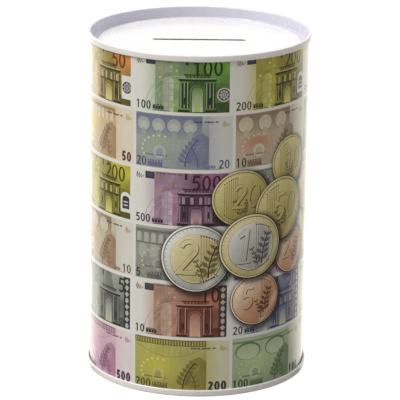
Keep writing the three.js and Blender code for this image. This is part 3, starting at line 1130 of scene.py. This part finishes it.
def top_end_mesh(can, material):
    """The top end: a turned ring, and inside it a flat panel with the slot and its turned-down lip."""
    ring_radius = 30 * MM
    middle = can.end_sheet / 2

    def flat_ring(foot):
        return [(ring_radius, foot, 0)]

    ring_path = bent_path(end_corners(can, from_top, flat_ring))
    ring_outline = sheet_outline(ring_path, can.end_sheet)[::-1]
    ring = turned_mesh("top_end", ring_outline, False, can.turns, material)

    panel_z = HEIGHT - can.panel_depth
    lip_bend = 0.16 * MM
    blend_width = 1.2 * MM
    spacing = 1.5 * MM
    lip_path = bent_path([
        (middle, -can.slot_lip, 0),
        (middle, -middle, lip_bend),
        (blend_width, -middle, 0)], 6)
    lip_outline = sheet_outline(lip_path, can.end_sheet)
    work = bmesh.new()
    work.from_mesh(ring)
    rows = []
    for point in lip_outline:
        loop = bar_loop(can.slot_length, can.slot_width, point.x, spacing)
        rows.append([work.verts.new((p.x, p.y, panel_z + point.y)) for p in loop])
    for row, following in zip(rows, rows[1:] + rows[:1]):
        if row is not rows[len(lip_path) - 1]:
            join_rows(work, row, following)
    slot_edge = bar_loop(can.slot_length, can.slot_width, blend_width, spacing)
    rim = [Vector((ring_radius * math.cos(2 * math.pi * i / can.turns),
                   ring_radius * math.sin(2 * math.pi * i / can.turns))) for i in range(can.turns)]
    loops = [list(range(len(rim))), list(range(len(rim), len(rim) + len(slot_edge)))]
    flat_points, _, triangles, _, _, inside = delaunay_2d_cdt(rim + slot_edge, [], loops, 1, 1e-7, True)
    for z in (panel_z, panel_z - can.end_sheet):
        verts = [work.verts.new((point.x, point.y, z)) for point in flat_points]
        for triangle, within in zip(triangles, inside):
            if 1 not in within:
                work.faces.new([verts[corner] for corner in triangle])
    mesh = bpy.data.meshes.new("top_end")
    work.to_mesh(mesh)
    work.free()
    mesh.materials.append(material)
    point_outwards(mesh)
    return mesh


# ---------------------------------------------------------------- shader groups

class Shader:
    """Adds nodes to a tree and links them, so that a graph reads as a list of steps."""

    def __init__(self, tree):
        self.tree = tree
        self.count = 0

    def node(self, kind, **settings):
        made = self.tree.nodes.new(kind)
        made.location = (200 * (self.count % 8), -240 * (self.count // 8))
        self.count += 1
        for name, value in settings.items():
            setattr(made, name, value)
        return made

    def feed(self, socket, value):
        if isinstance(value, bpy.types.NodeSocket):
            self.tree.links.new(value, socket)
        else:
            socket.default_value = value

    def math(self, operation, first, second=0.0, third=0.0):
        made = self.node("ShaderNodeMath", operation=operation)
        for socket, value in zip(made.inputs, (first, second, third)):
            self.feed(socket, value)
        return made.outputs[0]

    def ramp(self, value, low, high, to_low=0.0, to_high=1.0):
        made = self.node("ShaderNodeMapRange")
        for name, given in (("Value", value), ("From Min", low), ("From Max", high),
                            ("To Min", to_low), ("To Max", to_high)):
            self.feed(made.inputs[name], given)
        return made.outputs[0]

    def mix(self, share, first, second, blend="MIX"):
        made = self.node("ShaderNodeMix", data_type="RGBA", blend_type=blend)
        self.feed(made.inputs[0], share)
        self.feed(made.inputs[6], first)
        self.feed(made.inputs[7], second)
        return made.outputs[2]

    def noise(self, vector, scale, detail=2.0, roughness=0.5):
        made = self.node("ShaderNodeTexNoise")
        self.feed(made.inputs["Vector"], vector)
        self.feed(made.inputs["Scale"], scale)
        made.inputs["Detail"].default_value = detail
        made.inputs["Roughness"].default_value = roughness
        return made.outputs["Fac"]

    def group(self, tree, **values):
        made = self.node("ShaderNodeGroup")
        made.node_tree = tree
        for name, value in values.items():
            self.feed(made.inputs[name.replace("_", " ")], value)
        return made.outputs


def shader_group(name, inputs, outputs):
    """An empty shader group with named sockets, and its input and output nodes."""
    tree = bpy.data.node_groups.new(name, "ShaderNodeTree")
    for socket_name, kind, value in inputs:
        socket = tree.interface.new_socket(socket_name, in_out="INPUT", socket_type=kind)
        if value is not None:
            socket.default_value = value
    for socket_name, kind in outputs:
        tree.interface.new_socket(socket_name, in_out="OUTPUT", socket_type=kind)
    shader = Shader(tree)
    return tree, shader, shader.node("NodeGroupInput"), shader.node("NodeGroupOutput")


def engraved_lines_group():
    """Fine waving lines, as engraved for a banknote: a mask that is 1 on a line."""
    tree, s, given, result = shader_group(
        "Engraved lines",
        [("Sheet", "NodeSocketVector", None), ("Spacing", "NodeSocketFloat", 0.0006),
         ("Swing", "NodeSocketFloat", 0.5)],
        [("Mask", "NodeSocketFloat")])
    split = s.node("ShaderNodeSeparateXYZ")
    s.feed(split.inputs[0], given.outputs["Sheet"])
    along, up = split.outputs["X"], split.outputs["Y"]
    slow = s.math("SINE", s.math("MULTIPLY", along, 900.0))
    quick = s.math("SINE", s.math("MULTIPLY", along, 2300.0))
    wave = s.math("MULTIPLY", s.math("ADD", slow, s.math("MULTIPLY", quick, 0.4)), given.outputs["Swing"])
    phase = s.math("DIVIDE", up, given.outputs["Spacing"])
    phase = s.math("ADD", phase, wave)
    line = s.math("SINE", s.math("MULTIPLY", phase, 2 * math.pi))
    counter = s.math("SUBTRACT", phase, s.math("MULTIPLY", wave, 2.0))
    crossing = s.math("SINE", s.math("MULTIPLY", counter, 6.0))
    both = s.math("MAXIMUM", line, s.math("MULTIPLY", crossing, 0.7))
    s.feed(result.inputs["Mask"], s.ramp(both, -0.2, 0.9))
    return tree


def handling_group():
    """Faint scuffs and dust from handling: a mask, and a value to vary the gloss."""
    tree, s, given, result = shader_group(
        "Handling marks",
        [("Place", "NodeSocketVector", None), ("Scuffs", "NodeSocketFloat", 0.3),
         ("Dust", "NodeSocketFloat", 0.2)],
        [("Scuff Mask", "NodeSocketFloat"), ("Dust Mask", "NodeSocketFloat"),
         ("Gloss Variation", "NodeSocketFloat")])
    stretch = s.node("ShaderNodeMapping")
    s.feed(stretch.inputs["Vector"], given.outputs["Place"])
    stretch.inputs["Scale"].default_value = (1.0, 1.0, 0.12)
    stretch.inputs["Rotation"].default_value = (0.3, 0.5, 0.2)
    streaks = s.noise(stretch.outputs["Vector"], 1400.0, 3.0, 0.7)
    where = s.noise(given.outputs["Place"], 45.0, 2.0)
    scuffs = s.math("MULTIPLY", s.ramp(streaks, 0.62, 0.72), s.ramp(where, 0.5, 0.65))
    s.feed(result.inputs["Scuff Mask"], s.math("MULTIPLY", scuffs, given.outputs["Scuffs"]))
    specks = s.noise(given.outputs["Place"], 2600.0, 1.0)
    s.feed(result.inputs["Dust Mask"],
           s.math("MULTIPLY", s.ramp(specks, 0.7, 0.78), given.outputs["Dust"]))
    s.feed(result.inputs["Gloss Variation"], s.noise(given.outputs["Place"], 70.0, 4.0, 0.6))
    return tree


def lacquer_skin_group():
    """The skin of a stoved lacquer: a height for the bump, with orange peel and a slight waviness."""
    tree, s, given, result = shader_group(
        "Lacquer skin",
        [("Place", "NodeSocketVector", None), ("Peel", "NodeSocketFloat", 0.5),
         ("Waviness", "NodeSocketFloat", 0.5)],
        [("Height", "NodeSocketFloat")])
    peel = s.math("MULTIPLY", s.noise(given.outputs["Place"], 900.0, 2.0), given.outputs["Peel"])
    waves = s.math("MULTIPLY", s.noise(given.outputs["Place"], 60.0, 1.0), given.outputs["Waviness"])
    s.feed(result.inputs["Height"], s.math("ADD", peel, waves))
    return tree


def press_grain_group():
    """The uneven lay of printing ink: a brightness that varies from dot to dot and patch to patch."""
    tree, s, given, result = shader_group(
        "Press grain",
        [("Sheet", "NodeSocketVector", None), ("Dots", "NodeSocketFloat", 0.1),
         ("Patches", "NodeSocketFloat", 0.05)],
        [("Brightness", "NodeSocketFloat")])
    dots = s.math("SUBTRACT", s.noise(given.outputs["Sheet"], 2400.0, 2.0, 0.7), 0.5)
    patches = s.math("SUBTRACT", s.noise(given.outputs["Sheet"], 130.0, 3.0), 0.5)
    total = s.math("ADD", s.math("MULTIPLY", dots, given.outputs["Dots"]),
                   s.math("MULTIPLY", patches, given.outputs["Patches"]))
    s.feed(result.inputs["Brightness"], s.math("ADD", total, 1.0))
    return tree


def group_tree(name, make):
    return bpy.data.node_groups.get(name) or make()


def new_material(name):
    """A material with a Principled shader, and a helper that adds its nodes."""
    material = bpy.data.materials.new(name)
    material.use_nodes = True
    tree = material.node_tree
    tree.nodes.clear()
    shader = Shader(tree)
    surface = shader.node("ShaderNodeBsdfPrincipled")
    output = shader.node("ShaderNodeOutputMaterial")
    tree.links.new(surface.outputs["BSDF"], output.inputs["Surface"])
    return material, shader, surface


def lacquer_bump(s, surface, place, peel, waviness, distance):
    skin = s.group(group_tree("Lacquer skin", lacquer_skin_group), Place=place, Peel=peel, Waviness=waviness)
    bump = s.node("ShaderNodeBump")
    bump.inputs["Strength"].default_value = 0.35
    bump.inputs["Distance"].default_value = distance
    s.feed(bump.inputs["Height"], skin["Height"])
    s.feed(surface.inputs["Normal"], bump.outputs["Normal"])
    s.feed(surface.inputs["Coat Normal"], bump.outputs["Normal"])


def printed_material(name, line_spacing, swing, line_strength, roughness):
    """Ink on white-coated tinplate under clear gloss lacquer. The ink comes from the Ink attribute."""
    material, s, surface = new_material(name)
    inked = s.node("ShaderNodeVertexColor", layer_name="Ink")
    sheet = s.node("ShaderNodeUVMap", uv_map="Sheet").outputs["UV"]
    place = s.node("ShaderNodeTexCoord").outputs["Object"]
    lines = s.group(group_tree("Engraved lines", engraved_lines_group),
                    Sheet=sheet, Spacing=line_spacing, Swing=swing)["Mask"]
    depth = s.math("MULTIPLY", s.math("MULTIPLY", lines, inked.outputs["Alpha"]), line_strength)
    darker = s.mix(1.0, inked.outputs["Color"], inked.outputs["Color"], "MULTIPLY")
    drawn = s.mix(depth, inked.outputs["Color"], darker)
    grain = s.group(group_tree("Press grain", press_grain_group), Sheet=sheet, Dots=0.14, Patches=0.10)
    toned = s.node("ShaderNodeVectorMath", operation="SCALE")
    s.feed(toned.inputs[0], drawn)
    s.feed(toned.inputs["Scale"], grain["Brightness"])
    marks = s.group(group_tree("Handling marks", handling_group), Place=place, Scuffs=0.12, Dust=0.1)
    scuffed = s.mix(marks["Scuff Mask"], toned.outputs["Vector"], (0.75, 0.75, 0.72, 1.0))
    s.feed(surface.inputs["Base Color"], scuffed)
    s.feed(surface.inputs["Roughness"],
           s.ramp(marks["Gloss Variation"], 0.3, 0.7, roughness - 0.05, roughness + 0.07))
    surface.inputs["Specular IOR Level"].default_value = 0.5
    surface.inputs["Coat Weight"].default_value = 1.0
    surface.inputs["Coat Roughness"].default_value = 0.12
    surface.inputs["Coat IOR"].default_value = 1.52
    lacquer_bump(s, surface, place, 0.35, 0.9, 0.00002)
    return material


INNER_WALL_SHADE = (45.9 * MM, 46.6 * MM)  # the painted shade of the inner wall fades in between these radii
CROWN = (49.8 * MM, 50.3 * MM)  # and out between these


def white_lacquer_material(can):
    """White stoved lacquer on tinplate: slight yellowing, dust, scuffs, and painted shade that makes the
    inner wall darker and bluer.
    """
    material, s, surface = new_material(WHITE)
    place = s.node("ShaderNodeTexCoord").outputs["Object"]
    base = tuple(can.lacquer)
    roughness = 0.24
    warm = (base[0], base[1] * 0.985, base[2] * 0.95, 1.0)
    tint = s.ramp(s.noise(place, 38.0, 3.0), 0.35, 0.7)
    colour = s.mix(tint, (*base, 1.0), warm)
    flat_place = s.node("ShaderNodeVectorMath", operation="MULTIPLY")
    s.feed(flat_place.inputs[0], place)
    flat_place.inputs[1].default_value = (1.0, 1.0, 0.0)
    from_axis = s.node("ShaderNodeVectorMath", operation="LENGTH")
    s.feed(from_axis.inputs[0], flat_place.outputs["Vector"])
    # Painted shade: lacquer between these radii (the inner wall, groove and part of the crown of each end,
    # and the body sheet) is drawn darker and bluer.
    inside = s.math("MULTIPLY", s.ramp(from_axis.outputs["Value"], *INNER_WALL_SHADE),
                    s.ramp(from_axis.outputs["Value"], *CROWN, 1.0, 0.0))
    colour = s.mix(inside, colour, (base[0] * 0.79, base[1] * 0.785, base[2] * 0.885, 1.0))
    marks = s.group(group_tree("Handling marks", handling_group), Place=place, Scuffs=0.07, Dust=0.12)
    colour = s.mix(marks["Scuff Mask"], colour, (base[0] * 0.7, base[1] * 0.7, base[2] * 0.68, 1.0))
    colour = s.mix(marks["Dust Mask"], colour, (base[0] * 0.55, base[1] * 0.54, base[2] * 0.5, 1.0))
    s.feed(surface.inputs["Base Color"], colour)
    s.feed(surface.inputs["Roughness"],
           s.ramp(marks["Gloss Variation"], 0.3, 0.7, roughness - 0.06, roughness + 0.1))
    surface.inputs["Coat Weight"].default_value = 0.6
    surface.inputs["Coat Roughness"].default_value = 0.14
    lacquer_bump(s, surface, place, 0.5, 0.8, 0.00003)
    return material


def compound_material(can):
    """Matt dried lining compound with a pebbled skin."""
    material, s, surface = new_material("dried_compound")
    place = s.node("ShaderNodeTexCoord").outputs["Object"]
    mottle = s.ramp(s.noise(place, 900.0, 4.0), 0.3, 0.7)
    pale = tuple(channel * 1.35 for channel in can.compound)
    s.feed(surface.inputs["Base Color"], s.mix(mottle, (*can.compound, 1.0), (*pale, 1.0)))
    s.feed(surface.inputs["Roughness"], s.ramp(mottle, 0.0, 1.0, 0.7, 0.9))
    bump = s.node("ShaderNodeBump")
    bump.inputs["Strength"].default_value = 0.6
    bump.inputs["Distance"].default_value = 0.00005
    s.feed(bump.inputs["Height"], s.noise(place, 2500.0, 3.0))
    s.feed(surface.inputs["Normal"], bump.outputs["Normal"])
    return material


def weld_material():
    """The bare welded lap: blued and polished steel under a clear stripe of lacquer."""
    material, s, surface = new_material("bare_weld")
    place = s.node("ShaderNodeTexCoord").outputs["Object"]
    flow = s.node("ShaderNodeMapping")
    s.feed(flow.inputs["Vector"], place)
    flow.inputs["Scale"].default_value = (1.0, 1.0, 3.0)
    beads = s.ramp(s.noise(flow.outputs["Vector"], 420.0, 3.0), 0.35, 0.65)
    s.feed(surface.inputs["Base Color"],
           s.mix(beads, (0.46, 0.47, 0.49, 1.0), (0.62, 0.61, 0.6, 1.0)))
    surface.inputs["Metallic"].default_value = 0.85
    s.feed(surface.inputs["Roughness"], s.ramp(beads, 0.0, 1.0, 0.28, 0.48))
    bump = s.node("ShaderNodeBump")
    bump.inputs["Strength"].default_value = 0.5
    bump.inputs["Distance"].default_value = 0.00003
    s.feed(bump.inputs["Height"], beads)
    s.feed(surface.inputs["Normal"], bump.outputs["Normal"])
    return material


# ---------------------------------------------------------------- operators

def declare(piece, node):
    """Attaches a finished piece to the body it moves with, and hides the node it stands for."""
    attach(piece, BODY)
    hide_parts(node)


def shared_material(name, make):
    return bpy.data.materials.get(name) or make()


class MONEYBOX_OT_body(bpy.types.Operator):
    """Builds the white-coated body: a tube with a hook at each end, and its welded lap at the back"""

    bl_idname = "moneybox.body"
    bl_label = "Body"

    def execute(self, context):
        can = context.scene.moneybox_can
        _, body_hook, _, body, _ = seam_radii(can)
        turn = (body_hook - body) / 2

        def hook(depth_to_z):
            return [(body_hook, depth_to_z(BODY_HOOK_END), 0),
                    (body_hook, depth_to_z(BODY_HOOK_CROWN), turn),
                    (body, depth_to_z(BODY_HOOK_CROWN), turn)]

        path = bent_path(hook(from_bottom) + hook(from_top)[::-1])
        white = shared_material(WHITE, lambda: white_lacquer_material(can))
        shell = turned_piece("body_sheet", path, can.body_sheet, can, white)
        declare(shell, "body_shell")

        lap = add_object("welded_lap", lap_mesh(can, body + can.body_sheet / 2))
        declare(lap, "body_shell")
        return {"FINISHED"}


class MONEYBOX_OT_ends(bpy.types.Operator):
    """Builds the two white ends: the top with its coin slot, and the stepped bottom"""

    bl_idname = "moneybox.ends"
    bl_label = "Ends"

    def execute(self, context):
        can = context.scene.moneybox_can
        white = shared_material(WHITE, lambda: white_lacquer_material(can))
        top = add_object("top_end_panel", top_end_mesh(can, white))
        declare(top, "top_end")

        step_radius, step_width, step_rise = 37 * MM, 2.4 * MM, 0.9 * MM

        def stepped(foot):
            return [(0, foot + step_rise, 0),
                    (step_radius - step_width / 2, foot + step_rise, 1.2 * MM),
                    (step_radius + step_width / 2, foot, 1.2 * MM)]

        path = bent_path(end_corners(can, from_bottom, stepped))
        bottom = turned_piece("bottom_end_panel", path, can.end_sheet, can, white)
        declare(bottom, "bottom_end")
        return {"FINISHED"}


class MONEYBOX_OT_compound(bpy.types.Operator):
    """Builds the ring of lining compound inside each seam"""

    bl_idname = "moneybox.compound"
    bl_label = "Lining compound"

    def execute(self, context):
        can = context.scene.moneybox_can
        _, body_hook, _, body, _ = seam_radii(can)
        middle = (body_hook + body) / 2
        material = compound_material(can)
        for name, node, depth_to_z in (("top_compound_ring", "top_seam_compound", from_top),
                                       ("bottom_compound_ring", "bottom_seam_compound", from_bottom)):
            depth = 0.5 * MM
            outline = [Vector(point) for point in arc(
                middle, depth_to_z(depth), 0.35 * MM, 0.1 * MM, 0, 360, 30)]
            mesh = turned_mesh(name, outline, True, can.turns, material)
            point_outwards(mesh)
            declare(add_object(name, mesh), node)
        return {"FINISHED"}


def printed_materials():
    """The finish of the notes and the finish of the coins."""
    note = shared_material(
        "printed_notes", lambda: printed_material("printed_notes", 0.00062, 0.55, 0.62, 0.3))
    coin = shared_material(
        "printed_coins", lambda: printed_material("printed_coins", 0.0008, 0.25, 0.35, 0.28))
    return note, coin


def print_radius(can):
    return seam_radii(can)[3] + can.body_sheet / 2


def half_round(can, sheet):
    """Length of the sheet from the front round to the back, in millimetres."""
    return math.pi * (print_radius(can) + sheet.film) / MM


BACK_SHIFT = -150.0  # from the front heap of coins to the back one, round the sheet
NEAR = 5.0  # a coin this close to a tile can shade it
BACK_COINS = ("gold_10", "copper_2", "gold_20", "copper_5", "gold_50", "two_metal_1")


def all_coins():
    """The coins at the front, and a smaller heap of the same coins at the back, lowest first."""
    back = []
    for coin in COINS:
        if coin.name in BACK_COINS:
            x, y = coin.centre
            back.append(Coin(coin.name + "_back", coin.value, x + BACK_SHIFT, y, *coin.reach, coin.metal))
    return list(COINS) + back


class MONEYBOX_OT_notes(bpy.types.Operator):
    """Builds the printed notes: six rows that run round the body"""

    bl_idname = "moneybox.notes"
    bl_label = "Printed notes"

    def execute(self, context):
        can = context.scene.moneybox_can
        sheet = context.scene.moneybox_print
        material, _ = printed_materials()
        width = sheet.note_width / MM
        pitch = sheet.note_height / MM
        last = half_round(can, sheet) - sheet.bare_margin / MM
        lowest = (can.seam_height - 0.3 * MM) / MM
        highest = (HEIGHT - can.seam_height + 0.3 * MM) / MM
        coins = all_coins()
        for row in range(6):
            low = sheet.top / MM - pitch * (row + 1)
            for column in range(-3, 4):
                left = sheet.first_left / MM + width * column
                art = front_note if row % 2 == 0 else back_note
                edges = (max(left, -last), max(low, lowest),
                         min(left + width, last), min(low + pitch, highest))
                near = [coin for coin in coins
                        if (coin.centre + coin.reach + NEAR > edges[:2]).all()
                        and (coin.centre - coin.reach - NEAR < edges[2:]).all()]
                piece = build_film(
                    f"note_row{row + 1}_{column + 4}", art(note_value(row, column)), (left, low),
                    box_loop(*edges), [coin.loop() for coin in near], near, material,
                    print_radius(can), sheet)
                declare(piece, "body_shell")
        return {"FINISHED"}


class MONEYBOX_OT_coins(bpy.types.Operator):
    """Builds the printed coins that lie over the notes"""

    bl_idname = "moneybox.coins"
    bl_label = "Printed coins"

    def execute(self, context):
        can = context.scene.moneybox_can
        sheet = context.scene.moneybox_print
        _, material = printed_materials()
        coins = all_coins()
        for place, coin in enumerate(coins):
            above = [other for other in coins[place + 1:]
                     if np.linalg.norm(other.centre - coin.centre)
                     < other.reach.max() + coin.reach.max() + NEAR]
            piece = build_film(
                "coin_" + coin.name, coin_art(coin), tuple(coin.centre), coin.loop(),
                [other.loop() for other in above], above, material, print_radius(can), sheet)
            declare(piece, "body_shell")
        return {"FINISHED"}


class MONEYBOX_OT_stage(bpy.types.Operator):
    """Sets up the camera, the floor and the light"""

    bl_idname = "moneybox.stage"
    bl_label = "Stage"

    def execute(self, context):
        stage = context.scene.moneybox_stage
        self.add_camera(stage)
        self.add_floor(stage)
        self.add_light()
        context.scene.view_settings.view_transform = "Standard"
        return {"FINISHED"}

    def add_camera(self, stage):
        camera = bpy.data.cameras.new("Camera")
        camera.lens = stage.lens
        camera.sensor_width = 36
        camera.shift_x = stage.shift_across
        camera.shift_y = stage.shift_up
        camera.clip_start = 0.01
        holder = bpy.data.objects.new("Camera", camera)
        bpy.context.scene.collection.objects.link(holder)
        target = Vector((stage.aim_aside, 0, stage.aim_height))
        back = Vector((0, -math.cos(stage.elevation), math.sin(stage.elevation)))
        right = Vector((1, 0, 0))
        turn = Matrix.Rotation(stage.roll, 3, back)
        right = turn @ right
        up = back.cross(right)
        rotation = Matrix((right, up, back)).transposed().to_4x4()
        holder.matrix_world = Matrix.Translation(target + back * stage.distance) @ rotation
        bpy.context.scene.camera = holder

    def add_floor(self, stage):
        mesh = bpy.data.meshes.new("Floor")
        half = stage.floor_size / 2
        mesh.from_pydata([(-half, -half, 0), (half, -half, 0), (half, half, 0), (-half, half, 0)],
                         [], [(0, 1, 2, 3)])
        floor = add_object("Floor", mesh)
        material, s, surface = new_material("pale_floor")
        place = s.node("ShaderNodeTexCoord").outputs["Object"]
        tint = s.ramp(s.noise(place, 3.0), 0.0, 1.0)
        colour = s.mix(tint, (0.36, 0.33, 0.27, 1.0), (0.38, 0.35, 0.29, 1.0))
        surface.inputs["Roughness"].default_value = 0.9
        split = s.node("ShaderNodeSeparateXYZ")
        s.feed(split.inputs[0], place)
        beside = s.math("SUBTRACT", s.math("ABSOLUTE", split.outputs["X"]), BODY_HIGH.x * 0.93)
        beyond = s.math("ADD", split.outputs["Y"], BODY_HIGH.x * 0.3)
        distance = s.math("SQRT", s.math("ADD", s.math("MULTIPLY", beside, beside),
                                         s.math("MULTIPLY", beyond, beyond)))
        behind = s.math("DIVIDE", beyond, distance)
        towards_left = s.ramp(split.outputs["X"], -0.2, 0.2, 1.15, 0.85)
        rays = s.node("ShaderNodeLightPath").outputs
        s.feed(surface.inputs["Base Color"],
               s.mix(rays["Is Glossy Ray"], colour, (0.07, 0.068, 0.06, 1.0)))
        glow_level = s.math("MULTIPLY", s.ramp(behind, 0.3, 0.97, 0.0, 1.35), towards_left)
        mirrored = s.math("MULTIPLY", rays["Is Glossy Ray"], glow_level)
        glow = s.math("ADD", s.math("MULTIPLY", rays["Is Camera Ray"], 0.8), mirrored)
        s.feed(surface.inputs["Emission Color"],
               s.mix(rays["Is Glossy Ray"], (1, 1, 1, 1), (1, 0.97, 0.87, 1)))
        s.feed(surface.inputs["Emission Strength"], glow)
        mesh.materials.append(material)

    def add_light(self):
        world = bpy.data.worlds.new("Studio")
        world.use_nodes = True
        tree = world.node_tree
        tree.nodes.clear()
        s = Shader(tree)
        direction = s.node("ShaderNodeTexCoord").outputs["Generated"]
        split = s.node("ShaderNodeSeparateXYZ")
        s.feed(split.inputs[0], direction)
        left_back = s.math("ADD", s.math("MULTIPLY", split.outputs["X"], -0.15), split.outputs["Y"])
        level = s.ramp(left_back, -0.1, 0.75, 0.34, 0.95)
        overhead = s.ramp(split.outputs["Z"], 0.0, 0.8)
        background = s.node("ShaderNodeBackground")
        tint = s.mix(overhead, (1, 0.985, 0.92, 1), (0.88, 0.87, 1, 1))
        s.feed(background.inputs["Color"], tint)
        s.feed(background.inputs["Strength"], level)
        output = s.node("ShaderNodeOutputWorld")
        tree.links.new(background.outputs["Background"], output.inputs["Surface"])
        bpy.context.scene.world = world
        for name, direction, strength, spread in (
                ("Key", (-0.9, -0.42, 1.0), 2.2, 40),
                ("Top", (0.1, 0.3, 1.0), 0.95, 60),
                ("Fill", (0.8, -0.5, 0.35), 0.25, 60)):
            lamp = bpy.data.lights.new(name, "SUN")
            lamp.energy = strength
            lamp.angle = math.radians(spread)
            holder = bpy.data.objects.new(name, lamp)
            holder.rotation_euler = Vector(direction).to_track_quat("Z", "Y").to_euler()
            bpy.context.scene.collection.objects.link(holder)


class MONEYBOX_PT_panel(bpy.types.Panel):
    """Sizes, colours and the steps that build the money box"""

    bl_idname = "MONEYBOX_PT_panel"
    bl_label = "Tin Money Box"
    bl_space_type = "VIEW_3D"
    bl_region_type = "UI"
    bl_category = "Money Box"

    def draw(self, context):
        for settings in (context.scene.moneybox_can, context.scene.moneybox_print,
                         context.scene.moneybox_stage):
            box = self.layout.box()
            for name in settings.__annotations__:
                box.prop(settings, name)
        for step in STEPS:
            self.layout.operator(step.bl_idname)


SETTINGS = (CanSettings, PrintSettings, StageSettings)
STEPS = (MONEYBOX_OT_stage, MONEYBOX_OT_body, MONEYBOX_OT_ends, MONEYBOX_OT_compound,
         MONEYBOX_OT_notes, MONEYBOX_OT_coins)


def register():
    for group in SETTINGS + STEPS + (MONEYBOX_PT_panel,):
        bpy.utils.register_class(group)
    bpy.types.Scene.moneybox_can = PointerProperty(type=CanSettings)
    bpy.types.Scene.moneybox_print = PointerProperty(type=PrintSettings)
    bpy.types.Scene.moneybox_stage = PointerProperty(type=StageSettings)


def unregister():
    del bpy.types.Scene.moneybox_stage
    del bpy.types.Scene.moneybox_print
    del bpy.types.Scene.moneybox_can
    for group in reversed(SETTINGS + STEPS + (MONEYBOX_PT_panel,)):
        bpy.utils.unregister_class(group)


def main():
    register()
    bpy.ops.moneybox.stage()
    bpy.ops.moneybox.body()
    bpy.ops.moneybox.ends()
    bpy.ops.moneybox.compound()
    bpy.ops.moneybox.notes()
    bpy.ops.moneybox.coins()
    bpy.context.view_layer.update()


if __name__ == "__main__":
    main()
